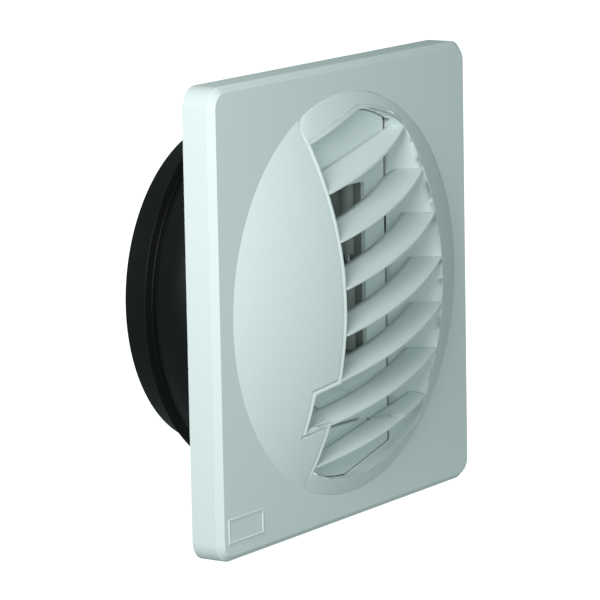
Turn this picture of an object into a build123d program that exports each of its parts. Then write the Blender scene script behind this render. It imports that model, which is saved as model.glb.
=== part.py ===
"""Square extract air valve: domed face plate, louvred clip-in grille, regulator and rubber duct sleeve.

The frame: X to the right, Z up, Y into the wall. The wall plane is Y = 0, and the origin is the middle
of the plate's back. "Out" below means the distance from the wall plane towards the room, so Y = -out.
Every length is in millimetres.
"""
from build123d import *
from math import cos, hypot, radians, sin, sqrt
import os

# Face plate: a shallow square tray with a chamfered front edge
plate_side = 163.0
plate_depth = 12.0
plate_corner = 7.3
plate_chamfer = 2.2
plate_wall = 2.2

# Dome: a spherical cap on the plate, whose foot stays clear of the plate's edges by the border
plate_border = 10.0
dome_height = 16.3
dome_wall = 2.0
skin_overlap = 0.4
rim_setback = 0.9

# Seam between the closed part of the dome and the grille, a shallow arc bowed to the right
seam_middle = -25.4
seam_end = -31.5
tip_corner = 2.2

# Finger notch, where the grille reaches into the closed part of the dome for one slat pitch
notch_left_top = -38.0
notch_left_bottom = -39.4
notch_slat = 5
notch_above_slat = 14.1
notch_below_slat = 3.0
notch_rise = 0.197

# Grille: slats that fan out a little and reach behind the dome's surface by one depth
slat_count = 7
slat_pitch = 16.5
slat_middle = -1.2
slat_rise = 0.21
slat_fan = 0.0084
slat_dip = 0.26
slat_thickness = 1.2
slat_depth = 10.9
grille_wall = 1.8
rim_width = 6.3
rim_width_right = 22.5
aperture_bow_radius = 139.6
aperture_bow_drop = 6.5
brow_height = 64.1
brow_rise = 0.275
floor_setback = 1.6
floor_thickness = 1.6
floor_cove = 5.0
grille_clearance = 0.25
hook_angles = (68.0, 0.0, -68.0)
hook_width = 9.0
hook_thickness = 1.6
hook_barb = 1.2
hook_reach = 3.4

# Seat ring behind the plate's front wall, which the grille rests on and hooks under
ledge_inside = 3.0
ledge_outside = 2.5
ledge_thickness = 1.6

# Rear body: square back flange and the tube that enters the duct
flange_gap = 0.5
flange_out = 2.0
flange_thickness = 2.0
tube_radius = 56.0
tube_wall = 2.0
tube_length = 42.0
rib_count = 12
rib_thickness = 1.6
rib_width = 8.0

# Corner bosses and the screws that hold the rear body in the plate
boss_from_edge = 12.0
boss_radius = 3.4
screw_radius = 1.4
screw_head_radius = 2.7
screw_head_height = 1.5
screw_bite = 5.0

# Rubber sleeve with its lip seal
sleeve_wall = 1.9
sleeve_gap = 0.1
sleeve_overhang = 1.0
lip_height = 8.0
lip_before_end = 14.0
lip_thickness = 1.4
bulge_height = 7.4
bulge_before_lip = 10.5
collar_step = 1.2
collar_end = 5.0

# Regulator cover: the flat panel behind the slats, with its air slot
panel_right = 26.7
panel_side_gap = 1.2
panel_gap = 0.3
panel_thickness = 1.6
panel_corner = 1.5
panel_foot = -64.4
panel_foot_rise = 0.2425
slot_left = -24.0
slot_right = 14.0
slot_bottom = -23.0
slot_top = 38.0
slot_corner = 1.5

# Setting tongue below the air slot: slits through the cover and score lines in its front
tongue_slit_width = 1.0
tongue_slits = (((-9.9, -46.3), (8.3, -46.8)), ((-23.1, -36.0), (-18.7, -38.3)))
score_width = 0.5
score_depth = 0.5
score_lines = (((-16.6, -52.6), (9.6, -47.4)), ((-11.4, -32.1), (1.5, -35.4)))

# Regulator housing: the channel behind the slot
housing_wall = 1.8
housing_depth = 32.0
lug_size = 8.0
lug_thickness = 2.4
lug_screw_radius = 1.1
lug_screw_head_radius = 2.1
lug_screw_head_height = 1.3
lug_boss_height = 4.0

# Flap, its pin and its spring
pin_radius = 1.0
pin_from_wall = 3.2
pin_out = 5.0
pin_running_gap = 0.05
knuckle_radius = 2.4
flap_length = 30.0
flap_thickness = 1.6
flap_side_gap = 0.6
flap_corner = 5.0
flap_rest_angle = 8.0
flap_swing = 65.0
spring_pocket = 9.0
spring_wire = 0.3
spring_coil_radius = 1.9
spring_pitch = 0.9
spring_whole_turns = 3
spring_leg = 9.0
spring_wall_gap = 0.1

# Stops of the flap, each with a rubber pad
pad_radius = 2.0
pad_length = 1.6
pad_gap = 0.35
stop_width = 8.0
stop_thickness = 2.2
open_stop_reach = 24.0
shut_stop_reach = 27.5

# Values that follow from the sizes above
dome_radius = plate_side / 2 - plate_border
grille_radius = dome_radius - rim_setback
aperture_radius = dome_radius - rim_width
aperture_right = dome_radius - rim_width_right
ledge_inner = dome_radius - ledge_inside
ledge_outer = dome_radius + ledge_outside
boss_offset = plate_side / 2 - boss_from_edge
sleeve_inner = tube_radius + sleeve_gap
sleeve_radius = sleeve_inner + sleeve_wall
sleeve_end = tube_length + sleeve_overhang
lip_radius = sleeve_radius + lip_height
lip_at = sleeve_end - lip_before_end
bulge_radius = sleeve_radius + bulge_height
bulge_at = lip_at - bulge_before_lip
collar_radius = sleeve_radius + collar_step
dome_apex = plate_depth + dome_height
ball_radius = (dome_radius**2 + dome_height**2) / (2 * dome_height)
ball_center_y = ball_radius - dome_apex
front_back = plate_depth - plate_wall
flange_front = flange_out + flange_thickness
floor_front = plate_depth - floor_setback
floor_back = floor_front - floor_thickness
seam_half = sqrt(dome_radius**2 - seam_end**2)
seam_sag = seam_middle - seam_end
seam_radius = (seam_half**2 + seam_sag**2) / (2 * seam_sag)
notch_slat_height = slat_middle + slat_pitch * ((slat_count - 1) / 2 - notch_slat)
notch_top_height = notch_slat_height + notch_above_slat
notch_bottom_height = notch_slat_height - notch_below_slat
housing_left = slot_left - housing_wall
housing_right = slot_right + housing_wall
housing_bottom = slot_bottom - housing_wall
housing_top = slot_top + housing_wall
slot_middle_z = (slot_bottom + slot_top) / 2
slot_height = slot_top - slot_bottom
housing_back_y = housing_depth - floor_back
pin_x = slot_right - pin_from_wall
pin_y = -pin_out
above_everything = 2 * dome_apex


def slab(plan, out_low, out_high):
    """Extrude a plan drawn in X and Z between two distances out from the wall."""
    return extrude(Plane.XZ.offset(out_low) * plan, amount=out_high - out_low)


def disc(radius, x=0.0, z=0.0):
    """A round plan."""
    return Pos(x, z) * Circle(radius)


def upright_box(x_low, x_high, y_low, y_high, z_low, z_high):
    """A box given by its corners."""
    size = Box(x_high - x_low, y_high - y_low, z_high - z_low)
    return Pos((x_low + x_high) / 2, (y_low + y_high) / 2, (z_low + z_high) / 2) * size


def plan_box(x_low, x_high, z_low, z_high):
    """A rectangular plan given by its corners."""
    return Pos((x_low + x_high) / 2, (z_low + z_high) / 2) * Rectangle(x_high - x_low, z_high - z_low)


def dome_ball(shrink=0.0):
    """The ball whose front is the dome's surface, or a surface below it."""
    return Pos(0, ball_center_y, 0) * Sphere(ball_radius - shrink)


def seam_disc(grow=0.0):
    """The plan left of the seam."""
    return disc(seam_radius + grow, x=seam_middle - seam_radius)


def notch(inset=0.0):
    """The finger notch's plan, with its top, left and bottom edges moved inwards by inset."""
    step = inset * hypot(1.0, notch_rise)
    right = 0.0
    left_top = notch_left_top + inset
    left_bottom = notch_left_bottom + inset
    corners = [
        (left_top, notch_top_height - step + notch_rise * left_top),
        (left_bottom, notch_bottom_height + step + notch_rise * left_bottom),
        (right, notch_bottom_height + step),
        (right, notch_top_height - step),
    ]
    return make_face(Polyline(*corners, close=True))


def grille_plan(inset=0.0):
    """The grille's outline: a circle near the dome's foot, cut by the seam and the notch on the left."""
    return (disc(grille_radius - inset) - seam_disc(inset)) + notch(inset)


def grille_outline(inset=0.0):
    """The grille's outline with its upper and lower tips rounded."""
    plan = grille_plan(inset)
    rows = plan.vertices().group_by(Axis.Y)
    return fillet(rows[0] + rows[-1], tip_corner - inset)


def stroke(start, end, width):
    """A narrow round-ended plan from one point to another."""
    along = Line(start, end)
    middle = along @ 0.5
    turn = Rot(0, 0, along.tangent_angle_at(0))
    return Pos(middle.X, middle.Y) * turn * SlotOverall(along.length + width, width)


def brow_plan(grow=0.0):
    """The plan below the straight sloping edge that ends the opening at its upper left."""
    height = brow_height + grow * hypot(1.0, brow_rise)
    drop = brow_rise * plate_side
    corners = [(-plate_side, -plate_side), (plate_side, -plate_side),
               (plate_side, height + drop), (-plate_side, height - drop)]
    return make_face(Polyline(*corners, close=True))


def aperture_plan(grow=0.0):
    """The grille's opening, which the slats cross."""
    bow = disc(aperture_bow_radius + grow, x=aperture_right - aperture_bow_radius, z=-aperture_bow_drop)
    inner_edge = grille_clearance + grille_wall - grow
    return ((disc(aperture_radius + grow) & bow) & brow_plan(grow)) & grille_plan(inner_edge)


def panel_field(side_gap=0.0, foot_gap=0.0):
    """The plan that the regulator cover keeps to, left of its right edge and above its sloping foot."""
    right = panel_right + side_gap
    foot = panel_foot - foot_gap * hypot(1.0, panel_foot_rise)
    corners = [(-plate_side, plate_side), (-plate_side, foot - panel_foot_rise * plate_side),
               (right, foot + panel_foot_rise * right), (right, plate_side)]
    return make_face(Polyline(*corners, close=True))


def slot_plan(grow=0.0):
    """The air slot of the regulator cover, or the outline of the channel behind it."""
    wide = slot_right - slot_left + 2 * grow
    high = slot_height + 2 * grow
    return Pos((slot_left + slot_right) / 2, slot_middle_z) * RectangleRounded(wide, high, slot_corner)


def make_face_plate():
    """Square tray with the closed part of the dome, the grille's seat ring and four corner bosses."""
    tray = slab(RectangleRounded(plate_side, plate_side, plate_corner), 0, plate_depth)
    tray = chamfer(tray.faces().sort_by(Axis.Y)[0].edges(), plate_chamfer)
    inner_side = plate_side - 2 * plate_wall
    pocket = slab(RectangleRounded(inner_side, inner_side, plate_corner - plate_wall), 0, front_back)
    opening = slab(disc(grille_radius), 0, above_everything)
    tray = tray - pocket - opening

    left_part = disc(dome_radius + skin_overlap) & seam_disc()
    closed_plan = (left_part + disc(grille_radius)) - grille_outline()
    skin = slab(closed_plan, front_back, above_everything) & (dome_ball() - dome_ball(dome_wall))
    edge_plan = closed_plan - (seam_disc(-grille_wall) - notch(-grille_wall))
    edge = slab(edge_plan, plate_depth + panel_gap, above_everything) & dome_ball()

    ring = slab(disc(ledge_outer) - disc(ledge_inner), front_back - ledge_thickness, front_back)
    boss = slab(disc(boss_radius) - disc(screw_radius), flange_front, front_back)
    bosses = [Pos(x, 0, z) * boss for x, z in screw_places()]
    return tray + skin + edge + ring + bosses


def screw_places():
    """The four corners where screws hold the rear body in the plate."""
    return [(x, z) for x in (-boss_offset, boss_offset) for z in (-boss_offset, boss_offset)]


def slat(index):
    """One slat as an endless inclined board, its top face dipping towards the room."""
    above_middle = (slat_count - 1) / 2 - index
    rise = slat_rise + slat_fan * above_middle
    board = Plane(
        origin=(0, -plate_depth, slat_middle + slat_pitch * above_middle),
        x_dir=(1, 0, rise),
        z_dir=(-rise, -slat_dip, 1),
    )
    reach = 2 * dome_radius
    return board * Box(reach, reach, slat_thickness, align=(Align.CENTER, Align.CENTER, Align.MAX))


def make_grille():
    """Clip-in grille: rim, walls round the opening, seven slats, a coved piece of floor and three hooks."""
    outline = grille_outline(grille_clearance)
    walls_plan = aperture_plan(grille_wall) & outline
    opening = aperture_plan()
    rim_plan = outline - opening
    rim = slab(rim_plan, front_back, above_everything) & (dome_ball() - dome_ball(dome_wall))
    walls = slab(walls_plan - opening, floor_front, above_everything) & dome_ball()

    right_half = plan_box(panel_right + panel_side_gap, plate_side, -plate_side, plate_side)
    floor_plan = (walls_plan + disc(tube_radius)) & disc(aperture_radius + grille_wall)
    floor_plan = floor_plan - panel_field(panel_side_gap, panel_gap)
    floor = slab(floor_plan, floor_back, floor_front)
    basin = slab(opening & right_half, floor_front, above_everything)
    basin_edges = basin.faces().sort_by(Axis.Y)[-1].edges().filter_by(GeomType.CIRCLE)
    cove = (basin - fillet(basin_edges, floor_cove)) & dome_ball()

    reach = slab(aperture_plan(grille_wall / 2) & outline, floor_front, above_everything) & dome_ball()
    reach = reach - Pos(0, slat_depth, 0) * dome_ball()
    slats = [slat(index) & reach for index in range(slat_count)]
    return rim + walls + floor + cove + slats + hooks()


def hooks():
    """Snap hooks under the rim, which pass inside the seat ring and catch behind it."""
    outer = ledge_inner - panel_gap
    inner = outer - hook_thickness
    tip_out = front_back - ledge_thickness - hook_reach
    root_out = plate_depth + dome_wall
    barb_top = front_back - ledge_thickness - panel_gap
    stem = [(inner, tip_out), (outer, tip_out), (outer + hook_barb, barb_top - hook_barb),
            (outer + hook_barb, barb_top), (outer, barb_top), (outer, root_out), (inner, root_out)]
    profile = make_face(Polyline(*[(radius, -out) for radius, out in stem], close=True))
    hook = extrude(profile, amount=hook_width / 2, both=True)
    trim = dome_ball(dome_wall / 2)
    return [(Rot(0, -angle, 0) * hook) & trim for angle in hook_angles]


def make_rear_body():
    """Square back flange with the duct tube, ribs at its root and holes for the corner screws."""
    side = plate_side - 2 * plate_wall - 2 * flange_gap
    corner = plate_corner - plate_wall - flange_gap
    flange = slab(RectangleRounded(side, side, corner), flange_out, flange_front)
    tube = slab(disc(tube_radius), -tube_length, floor_back)
    bore = slab(disc(tube_radius - tube_wall), -tube_length, floor_back)
    rib_height = floor_back - flange_front
    root = tube_radius - tube_wall / 2
    top_y = -flange_front - rib_height / 2
    foot = tube_radius + rib_width
    corners = [(root, -flange_front), (foot, -flange_front), (tube_radius, top_y), (root, top_y)]
    rib = extrude(make_face(Polyline(*corners, close=True)), amount=rib_thickness / 2, both=True)
    ribs = [Rot(0, 360 * (turn + 0.5) / rib_count, 0) * rib for turn in range(rib_count)]
    hole = slab(disc(screw_radius), flange_out, flange_front)
    holes = [Pos(x, 0, z) * hole for x, z in screw_places()]
    return flange + tube + ribs - bore - holes


def make_plate_screws():
    """Four pan head screws through the flange into the plate's bosses."""
    head = slab(disc(screw_head_radius), flange_out - screw_head_height, flange_out)
    shank = slab(disc(screw_radius), flange_out, flange_front + screw_bite)
    screw = head + shank
    return Compound(children=[Pos(x, 0, z) * screw for x, z in screw_places()])


def make_rubber_sleeve():
    """Black rubber sleeve on the tube: collar, hollow bulge, thin sealing lip and plain end."""
    inner = sleeve_inner
    start = -flange_out
    groove_at = lip_at - lip_thickness
    groove_radius = lip_radius - 2 * lip_thickness
    end_at = lip_at + 2 * lip_thickness
    outer = Wire([
        Line((inner, start), (collar_radius, start)),
        Line((collar_radius, start), (collar_radius, collar_end)),
        ThreePointArc((collar_radius, collar_end), (bulge_radius, bulge_at), (groove_radius, groove_at)),
        Line((groove_radius, groove_at), (lip_radius, lip_at)),
        ThreePointArc((lip_radius, lip_at),
                      (sleeve_radius + 3 * lip_thickness, lip_at + 1.5 * lip_thickness),
                      (sleeve_radius, end_at)),
        Line((sleeve_radius, end_at), (sleeve_radius, sleeve_end)),
        Line((sleeve_radius, sleeve_end), (inner, sleeve_end)),
        Line((inner, sleeve_end), (inner, start)),
    ])
    hollow = Wire([
        ThreePointArc((inner, collar_end), (bulge_radius - sleeve_wall, bulge_at), (inner, lip_at)),
        Line((inner, lip_at), (inner, collar_end)),
    ])
    return revolve(make_face(outer) - make_face(hollow), Axis.Y)


def lug_places():
    """The four corners of the housing where screws hold it behind the cover."""
    xs = (housing_left - lug_size / 2, housing_right + lug_size / 2)
    zs = (housing_bottom + lug_size / 2, housing_top - lug_size / 2)
    return [(x, z) for x in xs for z in zs]


def make_regulator_cover():
    """Flat panel on the tube's front rim, with the air slot and four screw bosses behind it."""
    plan = disc(aperture_radius - panel_gap) & panel_field()
    plan = fillet(plan.vertices().group_by(Axis.X)[-1], panel_corner)
    panel = slab(plan, floor_back, floor_back + panel_thickness)
    panel = panel - slab(slot_plan(), 0, plate_depth)
    panel_front = floor_back + panel_thickness
    for start, end in tongue_slits:
        panel = panel - slab(stroke(start, end, tongue_slit_width), floor_back, panel_front)
    for start, end in score_lines:
        panel = panel - slab(stroke(start, end, score_width), panel_front - score_depth, panel_front)
    boss = slab(disc(lug_size / 2) - disc(lug_screw_radius), floor_back - lug_boss_height, floor_back)
    return panel + [Pos(x, 0, z) * boss for x, z in lug_places()]


def make_regulator_housing():
    """Channel behind the slot, with lugs, pin eyes and the flap's two stops."""
    shell = slab(slot_plan(housing_wall) - slot_plan(), -housing_back_y, floor_back)
    lug_front = floor_back - lug_boss_height
    lug = slab(Rectangle(lug_size, lug_size), lug_front - lug_thickness, lug_front)
    shell = shell + [Pos(x, 0, z) * lug for x, z in lug_places()]
    shell = shell + open_stop() + shut_stop()
    pin_hole = Pos(pin_x, pin_y, slot_middle_z) * Cylinder(pin_radius, 2 * slot_height)
    lug_hole = slab(disc(lug_screw_radius), lug_front - lug_thickness, lug_front)
    return shell - pin_hole - [Pos(x, 0, z) * lug_hole for x, z in lug_places()]


def flap_point(along, across, angle):
    """A point of the flap in X and Y, along it from the pin and across it, at an angle from open flow."""
    turn = radians(angle)
    x = pin_x - along * sin(turn) + across * cos(turn)
    y = pin_y + along * cos(turn) + across * sin(turn)
    return x, y


def open_pad_tip():
    """X of the open pad's tip, just clear of the flap at rest."""
    face_x = flap_point(open_stop_reach, flap_thickness / 2, flap_rest_angle)[0]
    return face_x + pad_radius * sin(radians(flap_rest_angle)) + pad_gap


def shut_pad_tip():
    """Y of the shut pad's tip, just clear of the flap at the end of its swing."""
    shut_angle = flap_rest_angle + flap_swing
    face_y = flap_point(shut_stop_reach, -flap_thickness / 2, shut_angle)[1]
    return face_y - pad_radius / abs(sin(radians(shut_angle))) * cos(radians(shut_angle)) - pad_gap


def open_stop():
    """Block on the channel's right wall that carries the open pad."""
    y = flap_point(open_stop_reach, 0, flap_rest_angle)[1]
    half = stop_width / 2
    return upright_box(open_pad_tip() + pad_length, slot_right + housing_wall / 2, y - half, y + half,
                       slot_middle_z - half, slot_middle_z + half)


def shut_stop():
    """Tab on the channel's left wall that carries the shut pad."""
    x = flap_point(shut_stop_reach, 0, flap_rest_angle + flap_swing)[0]
    half = stop_width / 2
    back_y = shut_pad_tip() - pad_length
    return upright_box(slot_left - housing_wall / 2, x + half, back_y - stop_thickness, back_y,
                       slot_middle_z - half, slot_middle_z + half)


def make_stop_pads():
    """Two equal rubber pads on the stops."""
    pad = Cylinder(pad_radius, pad_length)
    open_y = flap_point(open_stop_reach, 0, flap_rest_angle)[1]
    shut_x = flap_point(shut_stop_reach, 0, flap_rest_angle + flap_swing)[0]
    open_pad = Pos(open_pad_tip() + pad_length / 2, open_y, slot_middle_z) * Rot(0, 90, 0) * pad
    shut_pad = Pos(shut_x, shut_pad_tip() - pad_length / 2, slot_middle_z) * Rot(90, 0, 0) * pad
    return Compound(children=[open_pad, shut_pad])


def make_housing_screws():
    """Four small screws through the housing's lugs into the cover's bosses."""
    lug_back = floor_back - lug_boss_height - lug_thickness
    head = slab(disc(lug_screw_head_radius), lug_back - lug_screw_head_height, lug_back)
    shank = slab(disc(lug_screw_radius), lug_back, floor_back)
    screw = head + shank
    return Compound(children=[Pos(x, 0, z) * screw for x, z in lug_places()])


def make_flap():
    """Hinged flap: a board with rounded free end and a knuckle parted for the spring."""
    height = slot_height - 2 * flap_side_gap
    board = upright_box(-flap_thickness / 2, flap_thickness / 2, 0, flap_length, -height / 2, height / 2)
    tip = board.edges().filter_by(Axis.X).group_by(Axis.Y)[-1]
    board = fillet(tip, flap_corner)
    knuckle = Cylinder(knuckle_radius, height)
    pocket_depth = knuckle_radius + 2 * spring_wire
    half = spring_pocket / 2
    pocket = upright_box(-flap_length, flap_length, -flap_length, pocket_depth, -half, half)
    bore = Cylinder(pin_radius + pin_running_gap, height)
    flap = board + knuckle - pocket - bore
    return Pos(pin_x, pin_y, slot_middle_z) * Rot(0, 0, flap_rest_angle) * flap


def make_flap_pin():
    """Steel pin from wall to wall of the channel."""
    return Pos(pin_x, pin_y, slot_middle_z) * Cylinder(pin_radius, slot_height + 2 * housing_wall)


def make_flap_spring():
    """Torsion spring on the pin, one leg against the channel's right wall and one along the flap."""
    turns = spring_whole_turns + (90 - flap_rest_angle) / 360
    rise = turns * spring_pitch
    coil = Helix(spring_pitch, rise, spring_coil_radius, lefthand=True)
    wall_leg = Line(coil @ 0 - (coil % 0) * (pin_from_wall - spring_wall_gap), coil @ 0)
    flap_leg = Line(coil @ 1, coil @ 1 + (coil % 1) * spring_leg)
    path = Wire([wall_leg, coil, flap_leg])
    spring = sweep(Plane(path @ 0, z_dir=path % 0) * Circle(spring_wire), path, is_frenet=True)
    return Pos(pin_x, pin_y, slot_middle_z - rise / 2) * Rot(0, 0, -90) * spring


def main():
    """Build every piece and write it to its own file."""
    pieces = {
        "face_plate": make_face_plate(),
        "grille": make_grille(),
        "rear_body": make_rear_body(),
        "plate_screws": make_plate_screws(),
        "rubber_sleeve": make_rubber_sleeve(),
        "regulator_cover": make_regulator_cover(),
        "regulator_housing": make_regulator_housing(),
        "housing_screws": make_housing_screws(),
        "regulator_flap": make_flap(),
        "flap_pin": make_flap_pin(),
        "flap_spring": make_flap_spring(),
        "stop_pads": make_stop_pads(),
    }
    os.makedirs("parts", exist_ok=True)
    for name, shape in pieces.items():
        export_step(shape, f"parts/{name}.step")


main()
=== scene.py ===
"""Fine meshes, finishes and studio for a square extract air valve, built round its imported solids.

X runs to the right, Z up and Y into the wall. "Out" is the distance from the wall plane towards the room,
so Y is minus out. A piece is shaped in millimetres, and becomes metres when it is finished.
"""
import logging
from collections.abc import Iterable, Sequence
from dataclasses import dataclass, replace
from enum import Enum
from functools import cached_property
from math import asin, atan2, cos, hypot, pi, radians, sin, sqrt, tan

import bmesh
import bpy
from mathutils import Matrix, Vector


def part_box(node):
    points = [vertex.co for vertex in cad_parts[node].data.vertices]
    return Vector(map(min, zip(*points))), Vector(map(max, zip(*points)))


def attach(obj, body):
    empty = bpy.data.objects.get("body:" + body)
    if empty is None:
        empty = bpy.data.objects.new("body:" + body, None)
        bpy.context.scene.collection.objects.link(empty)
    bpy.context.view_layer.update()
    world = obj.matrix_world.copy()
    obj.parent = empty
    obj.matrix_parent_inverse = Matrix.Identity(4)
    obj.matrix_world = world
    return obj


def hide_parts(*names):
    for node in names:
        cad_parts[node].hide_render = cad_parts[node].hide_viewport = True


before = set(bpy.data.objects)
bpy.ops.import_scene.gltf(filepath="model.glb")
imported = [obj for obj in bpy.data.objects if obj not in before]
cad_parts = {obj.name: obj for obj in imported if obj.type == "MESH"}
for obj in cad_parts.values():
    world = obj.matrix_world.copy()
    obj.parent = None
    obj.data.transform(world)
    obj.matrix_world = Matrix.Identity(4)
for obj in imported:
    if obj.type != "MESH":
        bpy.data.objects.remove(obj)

MM = 0.001
LAP = 0.1  # how deep a piece sinks into the one that it stands on
MERGE_WITHIN = 0.002
SETTLING_ROUNDS = 20
HALVINGS = 50
CLOUD_RANGE = (0.3, 0.7)
GRAIN_ROUGHNESS = 0.6
GRAIN_DEPTH = 0.05
FULL_WHITE = (1.0, 1.0, 1.0, 1.0)
LOG = logging.getLogger("air_valve")

BMesh = bmesh.types.BMesh
BMVert = bmesh.types.BMVert
Point = tuple[float, float]
Chain = list[BMVert]


class Body(Enum):
    """The bodies of the frame. New pieces ride on the valve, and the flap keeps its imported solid."""

    VALVE = "valve"
    FLAP = "flap"


class Slot(Enum):
    """The record's material slots."""

    WHITE = "white_plastic"
    INNER = "inner_plastic"
    RUBBER = "black_rubber"
    ZINC = "zinc_steel"
    SPRING = "spring_steel"


def set_inputs(node: bpy.types.Node, values: dict[str, object]) -> None:
    """Give a node's inputs their values, by name."""
    for name, value in values.items():
        node.inputs[name].default_value = value


def add_node(tree: bpy.types.NodeTree, kind: str, values: dict[str, object] | None = None,
             **settings: object) -> bpy.types.Node:
    """Add a node to a tree and set it up.

    Args:
        tree: The tree.
        kind: The node's type.
        values: The values of its inputs, by name.
        **settings: The values of its properties.

    Returns:
        The new node.
    """
    node = tree.nodes.new(kind)
    for name, value in settings.items():
        setattr(node, name, value)
    set_inputs(node, values or {})
    return node


def wire(start: bpy.types.Node, output: str, stop: bpy.types.Node, entry: str | int) -> None:
    """Link a node's output to an input of another node in the same tree."""
    start.id_data.links.new(start.outputs[output], stop.inputs[entry])


def grain_group() -> bpy.types.ShaderNodeTree:
    """Build the surface grain that every finish shares.

    Returns:
        A node group with the inputs Vector, Fine Scale and Broad Scale, and the outputs Height and Cloud.
    """
    group = bpy.data.node_groups.new("surface_grain", "ShaderNodeTree")
    group.interface.new_socket("Vector", in_out="INPUT", socket_type="NodeSocketVector")
    for name in ("Fine Scale", "Broad Scale"):
        group.interface.new_socket(name, in_out="INPUT", socket_type="NodeSocketFloat")
    for name in ("Height", "Cloud"):
        group.interface.new_socket(name, in_out="OUTPUT", socket_type="NodeSocketFloat")
    entry = add_node(group, "NodeGroupInput")
    leave = add_node(group, "NodeGroupOutput")
    for scale, detail, output in (("Fine Scale", 3.0, "Height"), ("Broad Scale", 4.0, "Cloud")):
        noise = add_node(group, "ShaderNodeTexNoise", {"Detail": detail, "Roughness": GRAIN_ROUGHNESS})
        wire(entry, "Vector", noise, "Vector")
        wire(entry, scale, noise, "Scale")
        wire(noise, "Fac", leave, output)
    return group


@dataclass(frozen=True)
class Finish:
    """A moulded, rubbed or drawn surface: two close colours, a range of gloss and a fine grain."""

    name: str
    colour: tuple[float, float, float]
    cloud_colour: tuple[float, float, float]
    roughness: tuple[float, float]
    fine_scale: float
    broad_scale: float
    bump: float
    stretch: tuple[float, float, float] = (1.0, 1.0, 1.0)
    metallic: float = 0.0
    specular: float = 0.5

    def build(self, grain: bpy.types.ShaderNodeTree) -> bpy.types.Material:
        """Make the material.

        Args:
            grain: The shared grain group.

        Returns:
            A material with its own Principled BSDF.
        """
        material = bpy.data.materials.new(self.name)
        material.use_nodes = True
        material.diffuse_color = (*self.colour, 1.0)
        tree = material.node_tree
        shader = tree.nodes["Principled BSDF"]
        set_inputs(shader, {"Metallic": self.metallic, "Specular IOR Level": self.specular})
        place = add_node(tree, "ShaderNodeTexCoord")
        mapping = add_node(tree, "ShaderNodeMapping", {"Scale": self.stretch})
        scales = {"Fine Scale": self.fine_scale, "Broad Scale": self.broad_scale}
        texture = add_node(tree, "ShaderNodeGroup", scales, node_tree=grain)
        colours = {"A": (*self.colour, 1.0), "B": (*self.cloud_colour, 1.0)}
        mix = add_node(tree, "ShaderNodeMix", colours, data_type="RGBA")
        names = ("From Min", "From Max", "To Min", "To Max")
        gloss = add_node(tree, "ShaderNodeMapRange", dict(zip(names, CLOUD_RANGE + self.roughness)))
        bump = add_node(tree, "ShaderNodeBump", {"Strength": self.bump, "Distance": GRAIN_DEPTH * MM})
        wire(place, "Object", mapping, "Vector")
        wire(mapping, "Vector", texture, "Vector")
        wire(texture, "Cloud", mix, "Factor")
        wire(mix, "Result", shader, "Base Color")
        wire(texture, "Cloud", gloss, "Value")
        wire(gloss, "Result", shader, "Roughness")
        wire(texture, "Height", bump, "Height")
        wire(bump, "Normal", shader, "Normal")
        return material


WHITE_PLASTIC = Finish(
    name="satin_white_plastic",
    colour=(0.80, 0.86, 0.845),
    cloud_colour=(0.815, 0.87, 0.858),
    roughness=(0.40, 0.47),
    fine_scale=2600.0,
    broad_scale=28.0,
    bump=0.25,
)
INNER_PLASTIC = Finish(
    name="satin_inner_plastic",
    colour=(0.84, 0.905, 0.89),
    cloud_colour=(0.85, 0.91, 0.895),
    roughness=(0.42, 0.5),
    fine_scale=2600.0,
    broad_scale=35.0,
    bump=0.3,
)
# A dark copy of the inner plastic, painted shade: it darkens the housing, the flap and the grille's cut
# edges as the shade inside the valve would.
PAINTED_SHADE_PLASTIC = replace(
    INNER_PLASTIC,
    name="painted_shade_plastic",
    colour=(0.30, 0.31, 0.30),
    cloud_colour=(0.32, 0.33, 0.32),
)
BLACK_RUBBER = Finish(
    name="moulded_black_rubber",
    colour=(0.003, 0.0032, 0.0034),
    cloud_colour=(0.007, 0.0074, 0.008),
    roughness=(0.36, 0.52),
    fine_scale=900.0,
    broad_scale=60.0,
    bump=0.5,
    stretch=(0.35, 1.0, 0.35),
    specular=0.24,
)
ZINC_STEEL = Finish(
    name="zinc_plated_steel",
    colour=(0.58, 0.60, 0.62),
    cloud_colour=(0.70, 0.71, 0.70),
    roughness=(0.28, 0.42),
    fine_scale=1800.0,
    broad_scale=500.0,
    bump=0.25,
    metallic=1.0,
)
SPRING_STEEL = Finish(
    name="drawn_spring_steel",
    colour=(0.46, 0.46, 0.47),
    cloud_colour=(0.56, 0.56, 0.57),
    roughness=(0.2, 0.32),
    fine_scale=2400.0,
    broad_scale=700.0,
    bump=0.2,
    stretch=(1.0, 1.0, 0.2),
    metallic=1.0,
)


class Palette:
    """The finishes as materials by slot, and a dark plastic that paints shade on cut edges and on pieces
    deep inside.
    """

    def __init__(self) -> None:
        """Build every material once, with the grain group that they share."""
        grain = grain_group()
        finishes = {
            Slot.WHITE: WHITE_PLASTIC,
            Slot.INNER: INNER_PLASTIC,
            Slot.RUBBER: BLACK_RUBBER,
            Slot.ZINC: ZINC_STEEL,
            Slot.SPRING: SPRING_STEEL,
        }
        self.materials = {slot: finish.build(grain) for slot, finish in finishes.items()}
        self.painted_shade = PAINTED_SHADE_PLASTIC.build(grain)

    def __getitem__(self, slot: Slot) -> bpy.types.Material:
        """The material of a slot."""
        return self.materials[slot]


def spot(x: float, z: float, out: float) -> Vector:
    """A place from its distances across, up and out from the wall."""
    return Vector((x, -out, z))


def between(start: Sequence[float], stop: Sequence[float], share: float) -> Point:
    """The plan point a share of the way from one point to another."""
    return start[0] + (stop[0] - start[0]) * share, start[1] + (stop[1] - start[1]) * share


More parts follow.
